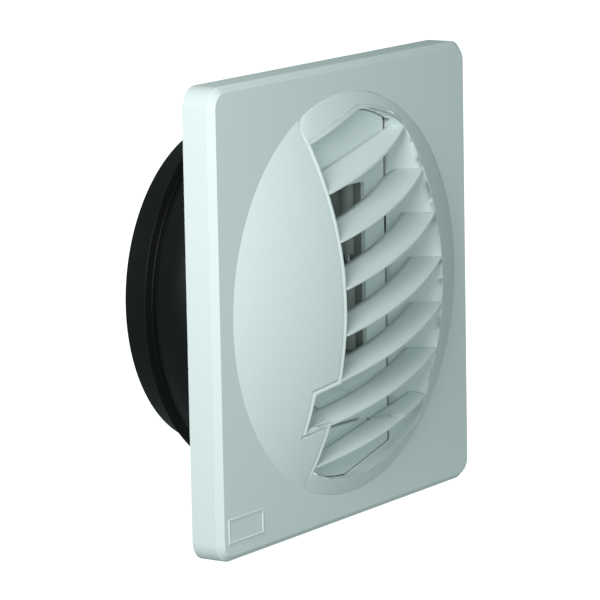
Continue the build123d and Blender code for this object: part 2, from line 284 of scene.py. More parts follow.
def draw_chain(bm: BMesh, places: Iterable[Vector], closed: bool = False) -> Chain:
    """Draw a row of vertices joined by edges.

    Args:
        bm: The mesh to draw in.
        places: Where the vertices go, in order.
        closed: Whether an edge joins the last vertex to the first.

    Returns:
        The vertices in order.
    """
    chain = [bm.verts.new(place) for place in places]
    for first, second in zip(chain, chain[1:]):
        bm.edges.new((first, second))
    if closed:
        bm.edges.new((chain[-1], chain[0]))
    return chain


def chain_edges(bm: BMesh, chain: Chain, closed: bool) -> list[bmesh.types.BMEdge]:
    """The edges along a chain, with the one that closes it where it is a loop."""
    onwards = chain[1:] + chain[:1] if closed else chain[1:]
    return [bm.edges.get(pair) for pair in zip(chain, onwards)]


def sweep_chain(bm: BMesh, chain: Chain, places: Iterable[Vector], closed: bool = False) -> Chain:
    """Extrude a chain of edges to new places, vertex by vertex.

    Args:
        bm: The mesh that holds the chain.
        chain: The vertices to extrude, in order.
        places: Where each new vertex goes.
        closed: Whether the chain is a loop.

    Returns:
        The new vertices in the same order.
    """
    made = bmesh.ops.extrude_edge_only(bm, edges=chain_edges(bm, chain, closed))
    fresh = {item for item in made["geom"] if isinstance(item, BMVert)}
    moved = []
    for vert, place in zip(chain, places):
        partner = next(e.other_vert(vert) for e in vert.link_edges if e.other_vert(vert) in fresh)
        partner.co = place
        moved.append(partner)
    return moved


def spin_section(bm: BMesh, section: Iterable[Vector], middle: Vector, steps: int) -> None:
    """Spin a closed section into a ring about an axis along Y.

    Args:
        bm: The mesh to add to.
        section: The corners of the section, in order.
        middle: A place on the axis.
        steps: The faces round the ring.
    """
    chain = draw_chain(bm, section, closed=True)
    bmesh.ops.spin(bm, geom=chain + chain_edges(bm, chain, True), cent=middle, axis=(0, 1, 0),
                   angle=2 * pi, steps=steps, use_merge=True)


def extrude_faces(bm: BMesh, faces: list[bmesh.types.BMFace], way: Sequence[float]) -> Chain:
    """Extrude a region of faces into a closed block.

    Args:
        bm: The mesh that holds the faces.
        faces: The region, which stays as the block's near end.
        way: How far the block's other end moves.

    Returns:
        The vertices of the other end.
    """
    made = bmesh.ops.extrude_face_region(bm, geom=faces, use_keep_orig=True)["geom"]
    far = [item for item in made if isinstance(item, BMVert)]
    bmesh.ops.translate(bm, verts=far, vec=way)
    return far


def upright_panel(wide: float, high: float) -> BMesh:
    """Shape a flat upright rectangle about the origin.

    Args:
        wide: Its size across.
        high: Its size up.

    Returns:
        A mesh with one face.
    """
    bm = bmesh.new()
    bmesh.ops.create_grid(bm, x_segments=1, y_segments=1, size=0.5)
    bmesh.ops.scale(bm, verts=bm.verts, vec=(wide, high, 1))
    bmesh.ops.rotate(bm, verts=bm.verts, cent=(0, 0, 0), matrix=Matrix.Rotation(radians(90), 3, "X"))
    return bm


def largest_face(bm: BMesh) -> bmesh.types.BMFace:
    """The face with the largest area."""
    return max(bm.faces, key=lambda face: face.calc_area())


def close_and_orient(bm: BMesh, towards_room: bool = False) -> None:
    """Merge doubles and turn the faces outwards.

    Args:
        bm: The mesh to tidy.
        towards_room: Whether the faces of an open skin have to look towards the room on the whole.
    """
    bmesh.ops.remove_doubles(bm, verts=bm.verts, dist=MERGE_WITHIN)
    bmesh.ops.recalc_face_normals(bm, faces=bm.faces)
    if towards_room:
        backwards = sum(face.normal.y * face.calc_area() for face in bm.faces)
        if backwards > 0:
            bmesh.ops.reverse_faces(bm, faces=bm.faces)


@dataclass
class Piece:
    """How a finished mesh joins the object."""

    name: str
    slot: Slot
    node: str
    body: Body = Body.VALVE

    def finish(self, bm: BMesh, palette: Palette) -> bpy.types.Object:
        """Turn a mesh in millimetres into a piece that rides on its body.

        Args:
            bm: The mesh, which is freed.
            palette: The finishes.

        Returns:
            The new object.
        """
        bmesh.ops.scale(bm, verts=bm.verts, vec=(MM, MM, MM))
        mesh = bpy.data.meshes.new(self.name)
        bm.to_mesh(mesh)
        bm.free()
        mesh.polygons.foreach_set("use_smooth", [True] * len(mesh.polygons))
        mesh.materials.append(palette[self.slot])
        piece = bpy.data.objects.new(self.name, mesh)
        bpy.context.scene.collection.objects.link(piece)
        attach(piece, self.body.value)
        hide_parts(self.node)
        return piece


def thicken(piece: bpy.types.Object, wall: float, painted_edge_shade: bpy.types.Material | None = None) -> None:
    """Give an open skin its wall, behind the faces that show.

    Args:
        piece: The skin.
        wall: The wall's thickness in millimetres.
        painted_edge_shade: A dark material for the wall's cut edges, which paints the shade in the
            joints, where it isn't the skin's own.
    """
    shell = piece.modifiers.new("wall", "SOLIDIFY")
    # Cut edges may take a second, dark material, which paints the shade in the joints.
    if painted_edge_shade:
        piece.data.materials.append(painted_edge_shade)
        shell.material_offset_rim = 1
    shell.thickness = wall * MM
    shell.offset = -1.0
    shell.use_even_offset = True


class Choice(Enum):
    """Which edges of a piece are rounded."""

    SHARP = "ANGLE"
    WEIGHTED = "WEIGHT"


def soften(piece: bpy.types.Object, width: float, segments: int = 3, angle: float = 34.0,
           choice: Choice = Choice.SHARP, flat: bool = True) -> None:
    """Round the edges of a piece.

    Args:
        piece: The piece to round.
        width: The width of the rounding in millimetres.
        segments: The faces across a rounding.
        angle: The sharpest turn in degrees that stays as it is.
        choice: Whether sharp edges are rounded, or only those with a bevel weight.
        flat: Whether the faces beside a rounding keep the shading of flat faces.
    """
    bevel = piece.modifiers.new("soft_edges", "BEVEL")
    bevel.width = width * MM
    bevel.segments = segments
    bevel.limit_method = choice.value
    bevel.angle_limit = radians(angle)
    bevel.profile = 0.5
    bevel.harden_normals = flat
    bevel.use_clamp_overlap = True


@dataclass(frozen=True)
class Dome:
    """The ball whose cap stands on the plate."""

    foot: float = 71.5
    height: float = 16.3
    base: float = 12.0

    @property
    def ball(self) -> float:
        """The ball's radius."""
        return (self.foot**2 + self.height**2) / (2 * self.height)

    def out_at(self, x: float, z: float) -> float:
        """How far out the dome's surface is at a plan point."""
        return sqrt(self.ball**2 - x**2 - z**2) + self.base + self.height - self.ball

    def drape(self, x: float, z: float) -> Vector:
        """The place on the dome's surface at a plan point."""
        return spot(x, z, self.out_at(x, z))


@dataclass(frozen=True)
class Tip:
    """A rounded corner where an outline leaves the seam."""

    height: float
    onwards: Point
    cut: float


@dataclass(frozen=True)
class Seam:
    """The line where the closed part of the dome meets the grille, with the finger notch in it."""

    dome: Dome
    setback: float = 0.9
    middle: float = -25.4
    end: float = -31.5
    notch_left_top: float = -38.0
    notch_left_bottom: float = -39.4
    notch_top: float = -20.1
    notch_bottom: float = -37.2
    rise: float = 0.197
    tip_cut: float = 1.7
    steps: tuple[int, ...] = (5, 26, 6, 9, 6, 10, 5)  # tip, arc, three sides of the notch, arc, tip

    @property
    def reach(self) -> float:
        """The radius of the round hole that the grille fills."""
        return self.dome.foot - self.setback

    @property
    def radius(self) -> float:
        """The radius of the seam's shallow arc.

        Returns:
            The radius in millimetres.
        """
        half = sqrt(self.dome.foot**2 - self.end**2)
        sag = self.middle - self.end
        return (half**2 + sag**2) / (2 * sag)

    def across(self, z: float, inset: float) -> float:
        """X of the arc at a height, moved towards the grille by inset."""
        return self.middle - self.radius + sqrt((self.radius + inset)**2 - z**2)

    def round_tip(self, inset: float, reach: float, side: float, cut: float) -> Tip:
        """The corner between the arc and a circle about the dome's axis.

        Args:
            inset: How far the arc is moved towards the grille.
            reach: The circle's radius.
            side: 1 for the upper corner and -1 for the lower one.
            cut: The length that the rounding takes from each side.

        Returns:
            The rounded corner.
        """
        centre = self.middle - self.radius
        x = (reach**2 - (self.radius + inset)**2 + centre**2) / (2 * centre)
        z = sqrt(reach**2 - x**2)
        return Tip(side * z, (z / reach, -side * x / reach), cut)

    def notch_edge(self, x: float, height: float, inset: float) -> float:
        """Z of a sloping edge of the notch.

        Args:
            x: Where the edge is asked for.
            height: The edge's height on the axis, notch_top or notch_bottom.
            inset: How far the edge is moved into the notch.

        Returns:
            The height at x.
        """
        lean = inset * hypot(1.0, self.rise)
        inward = -lean if height == self.notch_top else lean
        return height + inward + self.rise * x

    def mouth(self, height: float, inset: float) -> float:
        """The height where a sloping edge of the notch meets the arc.

        Args:
            height: The edge's height on the axis, notch_top or notch_bottom.
            inset: How far both lines are moved towards the grille.

        Returns:
            The height in millimetres.
        """
        z = height
        for _ in range(SETTLING_ROUNDS):
            z = self.notch_edge(self.across(z, inset), height, inset)
        return z

    def rounding(self, tip: Tip, inset: float) -> list[Point]:
        """The curve of a rounded corner, from the outline onwards to the seam.

        Args:
            tip: The corner.
            inset: How far the arc is moved towards the grille.

        Returns:
            Plan points, both ends included.
        """
        corner = (self.across(tip.height, inset), tip.height)
        far = (corner[0] + tip.cut * tip.onwards[0], corner[1] + tip.cut * tip.onwards[1])
        down = tip.height - tip.cut if tip.height > 0 else tip.height + tip.cut
        near = (self.across(down, inset), down)
        steps = self.steps[0]
        points = []
        for step in range(steps + 1):
            share = step / steps
            points.append(between(between(far, corner, share), between(corner, near, share), share))
        return points

    def chain(self, inset: float, upper: Tip, lower: Tip) -> list[Point]:
        """The seam from its upper corner to its lower one, round the notch.

        Args:
            inset: How far the line is moved towards the grille.
            upper: The corner at its upper end.
            lower: The corner at its lower end.

        Returns:
            Plan points, with the same count for every inset.
        """
        first = self.rounding(upper, inset)
        last = self.rounding(lower, inset)[::-1]
        mouth_top = self.mouth(self.notch_top, inset)
        mouth_bottom = self.mouth(self.notch_bottom, inset)
        left_top = self.notch_left_top + inset
        left_bottom = self.notch_left_bottom + inset
        knots = [
            first[-1],
            (self.across(mouth_top, inset), mouth_top),
            (left_top, self.notch_edge(left_top, self.notch_top, inset)),
            (left_bottom, self.notch_edge(left_bottom, self.notch_bottom, inset)),
            (self.across(mouth_bottom, inset), mouth_bottom),
            last[0],
        ]
        arcs = (0, len(knots) - 2)
        points = first[:-1]
        for index, (start, stop) in enumerate(zip(knots, knots[1:])):
            steps = self.steps[index + 1]
            for step in range(steps):
                x, z = between(start, stop, step / steps)
                points.append((self.across(z, inset) if index in arcs else x, z))
        return points + last


@dataclass
class FacePlate:
    """Square tray with a chamfered front, and the closed part of the dome in one moulding with it."""

    dome: Dome
    seam: Seam
    side: float
    corner: float = 7.3
    corner_steps: int = 10
    chamfer: float = 2.2
    wall: float = 2.1
    edge_round: float = 0.22
    edge_angle: float = 18.0
    margin: float = 1.6
    collar: float = 74.0
    rows: int = 16
    right_steps: int = 96
    tip_turn: float = 0.02
    fan_heights: tuple[float, ...] = (-10.0, -27.0, -50.0, -62.0)
    frame_size: Point = (21.0, 8.6)
    frame_middle: Point = (-66.4, -70.6)
    frame_line: float = 0.55
    frame_height: float = 0.3
    frame_round: float = 0.12
    seat_inner: float = 68.5
    seat_outer: float = 74.0
    seat_thickness: float = 1.6
    seat_steps: int = 128
    boss_from_edge: float = 12.0
    boss_radius: float = 3.4
    boss_hole: float = 1.4
    boss_foot: float = 4.0
    boss_steps: int = 32
    fitting_round: float = 0.2

    def tray(self) -> BMesh:
        """Shape the tray's sides, its chamfer and a narrow margin of its front.

        Returns:
            An open mesh, whose front is ready to be filled up to the dome.
        """
        bm = upright_panel(self.side, self.side)
        bmesh.ops.bevel(bm, geom=bm.verts[:], offset=self.corner, offset_type="OFFSET",
                        segments=self.corner_steps, profile=0.5, affect="VERTICES", material=-1)
        back = bm.faces[:]
        extrude_faces(bm, back, (0, -self.dome.base, 0))
        bmesh.ops.delete(bm, geom=back, context="FACES_ONLY")
        bmesh.ops.bevel(bm, geom=largest_face(bm).edges[:], offset=self.chamfer, offset_type="OFFSET",
                        segments=1, profile=0.5, affect="EDGES", material=-1)
        bmesh.ops.inset_region(bm, faces=[largest_face(bm)], thickness=self.margin, use_even_offset=True)
        return bm

    def skin(self) -> BMesh:
        """Shape the whole outer skin: tray, front and closed dome.

        Returns:
            An open skin that faces the room.
        """
        bm = self.tray()
        front = largest_face(bm)
        margin_edges = front.edges[:]
        bmesh.ops.delete(bm, geom=[front], context="FACES_ONLY")

        reach = self.seam.reach
        tips = [self.seam.round_tip(0.0, reach, side, self.seam.tip_cut) for side in (1.0, -1.0)]
        seam = self.seam.chain(0.0, *tips)
        tip = atan2(seam[0][1], seam[0][0])
        left = [self.ring_place(self.dome.foot, angle) for angle in self.foot_angles(tip)]
        turns = [step / self.right_steps for step in range(self.right_steps + 1)]
        right = [self.ring_place(reach, tip * (2 * turn - 1)) for turn in turns]
        foot = draw_chain(bm, left + right, closed=True)
        angles = [atan2(vert.co.z, vert.co.x) for vert in foot]
        collar = sweep_chain(bm, foot, [self.ring_place(self.collar, angle) for angle in angles], True)
        bmesh.ops.triangle_fill(bm, use_beauty=True, edges=margin_edges + chain_edges(bm, collar, True))

        row = foot[:len(seam)]
        starts = [(vert.co.x, vert.co.z) for vert in row]
        for step in range(1, self.rows + 1):
            points = [between(start, stop, step / self.rows) for start, stop in zip(starts, seam)]
            row = sweep_chain(bm, row, [self.dome.drape(x, z) for x, z in points])
        close_and_orient(bm, towards_room=True)
        return bm

    def foot_angles(self, tip: float) -> list[float]:
        """Angles round the dome's foot, spread so that the closed dome's rows fan out round the notch.

        Args:
            tip: The angle of the seam's upper tip.

        Returns:
            Angles from the upper tip down the left side to the lower one.
        """
        fan = [pi - asin(height / self.dome.foot) for height in self.fan_heights]
        knots = [tip, tip + self.tip_turn] + fan + [2 * pi - tip - self.tip_turn, 2 * pi - tip]
        angles = []
        for start, stop, steps in zip(knots, knots[1:], self.seam.steps):
            angles += [start + (stop - start) * step / steps for step in range(steps)]
        return angles + knots[-1:]

    def ring_place(self, radius: float, angle: float) -> Vector:
        """A place on the plate's front, on a circle about the dome's axis."""
        return spot(radius * cos(angle), radius * sin(angle), self.dome.base)

    def inner_fittings(self) -> BMesh:
        """Shape the grille's seat ring and the four screw bosses behind the plate's front.

        Returns:
            Closed rings that stand on the back of the front wall.
        """
        bm = bmesh.new()
        top = self.dome.base - self.wall + LAP
        seat = (self.seat_inner, self.seat_outer, top - self.seat_thickness, top)
        self.add_ring(bm, (0.0, 0.0), seat, self.seat_steps)
        boss = (self.boss_hole, self.boss_radius, self.boss_foot, top)
        offset = self.side / 2 - self.boss_from_edge
        for x in (-offset, offset):
            for z in (-offset, offset):
                self.add_ring(bm, (x, z), boss, self.boss_steps)
        close_and_orient(bm)
        return bm

    @staticmethod
    def add_ring(bm: BMesh, middle: Point, section: tuple[float, float, float, float],
                 steps: int) -> None:
        """Add a ring of rectangular section about an axis along Y.

        Args:
            bm: The mesh to add to.
            middle: The axis in plan.
            section: The inner and outer radius, and how far out the ring's back and front are.
            steps: The faces round the ring.
        """
        x, z = middle
        inner, outer, low, high = section
        corners = ((inner, low), (outer, low), (outer, high), (inner, high))
        spin_section(bm, [spot(x + radius, z, out) for radius, out in corners], spot(x, z, 0), steps)

    def rating_frame(self) -> BMesh:
        """Shape the plain raised frame in the plate's lower left corner.

        Returns:
            A closed thin frame that stands on the plate.
        """
        bm = upright_panel(*self.frame_size)
        bmesh.ops.translate(bm, verts=bm.verts, vec=spot(*self.frame_middle, self.dome.base - LAP))
        field = bm.faces[:]
        bmesh.ops.inset_region(bm, faces=field, thickness=self.frame_line, use_boundary=True,
                               use_even_offset=True)
        bmesh.ops.delete(bm, geom=field, context="FACES_ONLY")
        extrude_faces(bm, bm.faces[:], (0, -self.frame_height - LAP, 0))
        close_and_orient(bm)
        return bm

    def build(self, palette: Palette) -> list[bpy.types.Object]:
        """Make the plate's pieces.

        Args:
            palette: The finishes.

        Returns:
            The shell, its inner fittings and the raised frame.
        """
        node = "face_plate"
        shell = Piece("face_plate_shell", Slot.WHITE, node).finish(self.skin(), palette)
        thicken(shell, self.wall)
        soften(shell, self.edge_round, angle=self.edge_angle)
        fittings = Piece("face_plate_fittings", Slot.WHITE, node).finish(self.inner_fittings(), palette)
        soften(fittings, self.fitting_round, segments=2)
        ridge = Piece("face_plate_frame", Slot.WHITE, node).finish(self.rating_frame(), palette)
        soften(ridge, self.frame_round, segments=2)
        return [shell, fittings, ridge]


class Stretch(Enum):
    """What a stretch of the opening's edge follows."""

    ROUND = "the circle about the dome's axis"
    BOW = "the shallow arc on the right"
    STRAIGHT = "the brow"


@dataclass
class Grille:
    """Clip-in grille: a rim on the dome, a wall round the opening, seven slats and a coved floor."""

    dome: Dome
    seam: Seam
    clearance: float = 0.4
    rim_lap: float = 0.1
    wall: float = 1.7
    wall_line: float = 1.65
    opening: float = 65.2
    right: float = 49.0
    bow_radius: float = 139.6
    bow_drop: float = 6.5
    brow_height: float = 64.1
    brow_rise: float = 0.275
    corner_cut: float = 0.5
    loop_steps: tuple[int, ...] = (12, 14, 7, 44, 5, 10, 14)
    floor_ends: tuple[int, int] = (1, 5)  # the stretches of the edge whose ends bound the coved floor
    floor_level: float = 10.4
    floor_left: float = 27.9
    floor_foot: float = -64.7
    floor_foot_rise: float = 0.2425
    cove: float = 4.0
    cove_of_depth: float = 0.7
    cove_of_width: float = 0.8
    cove_growth: float = 1.2
    cove_steps: int = 6
    lean: float = radians(45.0)
    lean_fades: Point = (10.0, 24.0)  # over these lengths from the wall's top and its foot
    strip_round: float = 1.5
    band: tuple[float, ...] = (0.0, 0.08, 0.2, 0.36, 0.58, 0.75, 0.86, 1.0)
    edge_margin: float = 0.9  # the last row before the opening's edge is no further from it
    wall_rows: tuple[float, ...] = (0.3, 0.65, 1.0)
    slat_count: int = 7
    slat_grid: tuple[int, int] = (32, 6)
    slat_settling: int = 12
    slat_lift: float = 0.05
    slat_pitch: float = 16.5
    slat_middle: float = -1.2
    slat_rise: float = 0.21
    slat_fan: float = 0.0084
    slat_dip: float = 0.26
    slat_depth: float = 10.9
    slat_thickness: float = 1.2
    slat_taper: float = 0.45
    slat_bite: float = 0.9
    slat_tuck: float = 0.35
    notch_bend: float = 0.2
    notch_spare: float = 3.0  # in walls, how far below the notch its left wall still counts
    slat_round: float = 0.3
    edge_round: float = 0.22
    hook_angles: tuple[float, ...] = (68.0, 0.0, -68.0)
    hook_width: float = 9.0
    hook_profile: tuple[Point, ...] = (
        (66.6, 4.8), (68.2, 4.8), (69.4, 6.7), (69.4, 7.9), (68.2, 7.9), (68.2, 12.6), (66.6, 12.6),
    )
    hook_round: float = 0.2

    @property
    def line(self) -> float:
        """How far the opening's edge lies inside the seam."""
        return self.clearance + self.wall_line

    def bow(self, z: float) -> float:
        """X of the opening's bowed right edge at a height."""
        return self.right - self.bow_radius + sqrt(self.bow_radius**2 - (z + self.bow_drop)**2)

    def circle(self, z: float) -> float:
        """Half the width of the opening's round edge at a height."""
        return sqrt(max(self.opening**2 - z**2, 0.0))

    @cached_property
    def bow_ends(self) -> Point:
        """The heights where the bowed edge meets the round one.

        Returns:
            The upper and the lower height.
        """
        ends = []
        for side in (1.0, -1.0):
            low, high = 0.0, self.opening
            for _ in range(HALVINGS):
                middle = (low + high) / 2
                if self.bow(side * middle) < self.circle(side * middle):
                    low = middle
                else:
                    high = middle
            ends.append(side * low)
        return ends[0], ends[1]

    def line_end(self, height: float, rise: float, side: float) -> Point:
        """Where a sloping line meets the opening's round edge.

        Args:
            height: The line's height on the axis.
            rise: The line's slope.
            side: 1 for the end on the right and -1 for the one on the left.

        Returns:
            The plan point.
        """
        square = 1 + rise**2
        middle = -height * rise / square
        half = sqrt(middle**2 - (height**2 - self.opening**2) / square)
        x = middle + side * half
        return x, height + rise * x

    def brow_tip(self) -> Tip:
        """The opening's upper left corner, between the seam and the straight brow.

        Returns:
            The rounded corner.
        """
        z = self.brow_height
        for _ in range(SETTLING_ROUNDS):
            z = self.brow_height + self.brow_rise * self.seam.across(z, self.line)
        slope = hypot(1.0, self.brow_rise)
        return Tip(z, (1 / slope, self.brow_rise / slope), self.corner_cut)

    def opening_loop(self) -> tuple[list[Point], list[int]]:
        """The opening's edge, from its upper left corner down the seam and round.

        Returns:
            Plan points, and the places in the list where the edge's stretches end.
        """
        lower_tip = self.seam.round_tip(self.line, self.opening, -1.0, self.corner_cut)
        points = self.seam.chain(self.line, self.brow_tip(), lower_tip)
        upper, lower = self.bow_ends
        wedge = self.line_end(self.floor_foot, self.floor_foot_rise, -1.0)
        brow = self.line_end(self.brow_height, self.brow_rise, 1.0)
        split = self.circle(self.floor_left)
        stops = (
            (wedge, Stretch.ROUND),
            ((self.floor_left, -split), Stretch.ROUND),
            ((self.bow(lower), lower), Stretch.ROUND),
            ((self.bow(upper), upper), Stretch.BOW),
            ((self.floor_left, split), Stretch.ROUND),
            (brow, Stretch.ROUND),
            (points[0], Stretch.STRAIGHT),
        )
        ends = [len(points) - 1]
        for (stop, stretch), steps in zip(stops, self.loop_steps):
            start = points[-1]
            for step in range(1, steps + 1):
                x, z = between(start, stop, step / steps)
                if stretch is Stretch.BOW:
                    x = self.bow(z)
                elif stretch is Stretch.ROUND:
                    size = self.opening / hypot(x, z)
                    x, z = x * size, z * size
                points.append((x, z))
            ends.append(len(points) - 1)
        return points[:-1], ends

    def rim_loop(self, ends: list[int], inner: list[Point]) -> list[Point]:
        """The rim's outer edge, point for point beside the opening's edge.

        Args:
            ends: Where the opening's stretches end.
            inner: The opening's edge.

        Returns:
            Plan points.
        """
        reach = self.dome.foot + self.rim_lap
        upper, lower = [self.seam.round_tip(self.clearance, reach, side, self.seam.tip_cut)
                        for side in (1.0, -1.0)]
        points = self.seam.chain(self.clearance, upper, lower)
        marks = [atan2(points[-1][1], points[-1][0])]
        marks += [atan2(inner[end][1], inner[end][0]) for end in ends[1:-1]]
        marks.append(atan2(points[0][1], points[0][0]))
        for index, (start, stop) in enumerate(zip(marks, marks[1:])):
            steps = ends[index + 1] - ends[index]
            turns = [start + (stop - start) * step / steps for step in range(1, steps + 1)]
            points += [(reach * cos(turn), reach * sin(turn)) for turn in turns]
        return points[:-1]

    def drop(self, distance: float) -> float:
        """How far the rounded top of the wall along the seam lies below the dome.

        Args:
            distance: The distance from the wall's outer edge.

        Returns:
            The depth in millimetres.
        """
        short = max(self.strip_round - distance, 0.0)
        return self.strip_round - sqrt(self.strip_round**2 - short**2)

    def skin(self) -> BMesh:
        """Shape the rim, the wall round the opening, the cove and the floor.

        Returns:
            An open skin, seen from the room.
        """
        bm = bmesh.new()
        inner, ends = self.opening_loop()
        outer = self.rim_loop(ends, inner)
        row: Chain = []
        for share in self.band:
            places = []
            for index, (begin, stop) in enumerate(zip(outer, inner)):
                reached = share
                if share == self.band[-2]:
                    width = hypot(stop[0] - begin[0], stop[1] - begin[1])
                    reached = max(share, 1 - self.edge_margin / width)
                place = self.dome.drape(*between(begin, stop, reached))
                if index <= ends[0]:
                    place.y += self.drop(reached * self.wall_line)
                places.append(place)
            row = sweep_chain(bm, row, places, True) if row else draw_chain(bm, places, closed=True)

        start, end = (ends[stretch] for stretch in self.floor_ends)
        coves = [self.cove_at(x, z) for x, z in inner]
        ways = self.inward_ways(inner[start:end + 1])
        leans = [self.lean_at(x, z) for x, z in inner]
        feet = [spot(x, z, self.floor_level + cove) for (x, z), cove in zip(inner, coves)]
        for index, way in enumerate(ways, start):
            feet[index] = self.wall_foot(inner[index], way, leans[index], coves[index])
        edge = [vert.co.copy() for vert in row]
        for share in self.wall_rows:
            row = sweep_chain(bm, row, [top.lerp(foot, share) for top, foot in zip(edge, feet)], True)
        plain = list(range(end, len(inner))) + list(range(start + 1))
        sweep_chain(bm, [row[k] for k in plain], [spot(*inner[k], self.floor_level) for k in plain])
        self.add_floor(bm, row[start:end + 1], ways, leans[start:end + 1], coves[start:end + 1])
        close_and_orient(bm, towards_room=True)
        return bm

    def foot_line(self, x: float) -> float:
        """Z of the floor's sloping lower left edge."""
        return self.floor_foot + self.floor_foot_rise * x

    def cove_at(self, x: float, z: float) -> float:
        """The radius of the cove at the foot of the wall, which shrinks where the floor is narrow.

        Args:
            x: Where the opening's edge is, across.
            z: Where it is, up.

        Returns:
            The radius in millimetres.
        """
        radius = min(self.cove, self.cove_of_depth * (self.dome.out_at(x, z) - self.floor_level))
        if z < 0:
            width = max(self.foot_line(min(x, self.floor_left)) - z, 0.0)
            beyond = max(x - self.floor_left, 0.0)
            radius = min(radius, self.cove_of_width * width + self.cove_growth * beyond)
        return radius

    def lean_at(self, x: float, z: float) -> float:
        """The angle by which the right-hand wall leans back, which fades out towards its ends.

        Args:
            x: Where the opening's edge is, across.
            z: Where it is, up.

        Returns:
            The angle in radians.
        """
        upper, lower = self.bow_ends
        from_top = min(x - self.floor_left, upper - z) / self.lean_fades[0]
        from_foot = (z - lower) / self.lean_fades[1]
        return self.lean * min(max(min(from_top, from_foot), 0.0), 1.0)

    def wall_foot(self, point: Point, way: Vector, lean: float, cove: float) -> Vector:
        """The place where the leaning wall runs into its cove.

        Args:
            point: A point of the opening's edge.
            way: The direction into the opening there.
            lean: The angle by which the wall leans back there.
            cove: The radius of the cove there.

        Returns:
            The place in millimetres.
        """
        x, z = point
        level = self.floor_level + cove * (1 - sin(lean))
        shift = tan(lean) * (self.dome.out_at(x, z) - level)
        return spot(x + way.x * shift, z + way.y * shift, level)

    @staticmethod
    def inward_ways(edge: list[Point]) -> list[Vector]:
        """The directions into the opening along a stretch of its edge.

        Args:
            edge: The stretch in plan.

        Returns:
            A mitred direction for each point.
        """
        inward = [Vector((0.0, 1.0))]
        for before, here, after in zip(edge, edge[1:], edge[2:]):
            turns = []
            for first, second in ((before, here), (here, after)):
                along = Vector((second[0] - first[0], second[1] - first[1])).normalized()
                turns.append(Vector((-along.y, along.x)))
            inward.append((turns[0] + turns[1]) / (1 + turns[0].dot(turns[1])))
        inward.append(Vector((0.0, -1.0)))
        return inward

    def add_floor(self, bm: BMesh, row: Chain, ways: list[Vector], leans: list[float],
                  coves: list[float]) -> None:
        """Sweep the right-hand wall round its cove into the floor.

        Args:
            bm: The mesh that holds the wall.
            row: The wall's lower edge.
            ways: The direction into the opening at each point of it.
            leans: The angle by which the wall leans back at each point.
            coves: The radius of the cove at each point.
        """
        edge = [(vert.co.x, vert.co.z) for vert in row]
        for step in range(1, self.cove_steps + 1):
            places = []
            for (x, z), way, lean, cove in zip(edge, ways, leans, coves):
                turn = lean + (pi / 2 - lean) * step / self.cove_steps
                shift = cove * (cos(lean) - cos(turn))
                level = self.floor_level + cove * (1 - sin(turn))
                places.append(spot(x + way.x * shift, z + way.y * shift, level))
            row = sweep_chain(bm, row, places)
        limits = []
        for (x, z), vert in zip(edge, row):
            if x <= self.floor_left and z < 0:
                limits.append(spot(vert.co.x, max(self.foot_line(vert.co.x), z), self.floor_level))
            else:
                limits.append(spot(self.floor_left, vert.co.z, self.floor_level))
        sweep_chain(bm, row, limits)

    def left_limit(self, z: float) -> float:
        """X of the wall that a slat's left end runs into.

        Args:
            z: The height.

        Returns:
            X of the seam's wall or of the notch's left one.
        """
        line = self.line
        left_top = self.seam.notch_left_top + line
        left_bottom = self.seam.notch_left_bottom + line
        top = self.seam.notch_edge(left_top, self.seam.notch_top, line)
        bottom = self.seam.notch_edge(left_bottom, self.seam.notch_bottom, line)
        if bottom - self.notch_spare * self.wall < z < top:
            return left_top + (left_bottom - left_top) * min((top - z) / (top - bottom), 1.0)
        return self.seam.across(z, line)

    def slat_place(self, index: int, along: float, forward: float, below: float) -> Vector:
        """A place on a slat.

        Args:
            index: The slat, counted from the top.
            along: The share of the way from its left end to its right one.
            forward: The share of the way from its back edge to its front one.
            below: 0 on the upper face and 1 on the lower one.

        Returns:
            The place in millimetres.
        """
        above_middle = (self.slat_count - 1) / 2 - index
        rise = self.slat_rise + self.slat_fan * above_middle
        thickness = self.slat_thickness - self.slat_taper * forward
        height = self.slat_middle + self.slat_pitch * above_middle - below * thickness
        tuck = self.slat_tuck if along in (0.0, 1.0) else 0.0
        base = self.floor_level + self.slat_lift
        x, out = 0.0, base
        for _ in range(self.slat_settling):
            z = height + rise * x - self.slat_dip * (out - self.dome.base)
            left = self.left_limit(z) - self.slat_bite
            edge = min(self.bow(z), self.circle(z))
            deep = max(self.dome.out_at(edge, z) - out, 0.0)
            right = edge - (tan(self.lean_at(edge, z)) * deep - self.slat_bite)
            x = left + (right - left) * along
            surface = self.dome.out_at(x, z) - tuck
            back = max(base, surface - self.slat_depth)
            out = back + (surface - back) * forward
        into_notch = self.seam.across(z, 0.0) - x
        if into_notch > 0:
            z -= self.notch_bend * into_notch
            z = max(z, self.seam.notch_edge(x, self.seam.notch_bottom, self.slat_bite))
        return spot(x, z, out)

    def add_slat(self, bm: BMesh, index: int) -> None:
        """Bend a flat block into one slat.

        Args:
            bm: The mesh to add to.
            index: The slat, counted from the top.
        """
        weight = bm.edges.layers.float["bevel_weight_edge"]
        columns, rows = self.slat_grid
        half = 0.5
        top = bmesh.ops.create_grid(bm, x_segments=columns, y_segments=rows, size=half)["verts"]
        faces = list({face for vert in top for face in vert.link_faces})
        lower = extrude_faces(bm, faces, (0, 0, 1))
        for edge in {edge for vert in top + lower for edge in vert.link_edges}:
            first, second = edge.verts
            if min(first.co.y, second.co.y) > half - MERGE_WITHIN and first.co.z == second.co.z:
                edge[weight] = 1.0
        for vert in top + lower:
            vert.co = self.slat_place(index, vert.co.x + half, vert.co.y + half, vert.co.z)

    def slats(self) -> BMesh:
        """Shape the slats.

        Returns:
            Closed blocks whose ends run into the walls.
        """
        bm = bmesh.new()
        bm.edges.layers.float.new("bevel_weight_edge")
        for index in range(self.slat_count):
            self.add_slat(bm, index)
        close_and_orient(bm)
        return bm

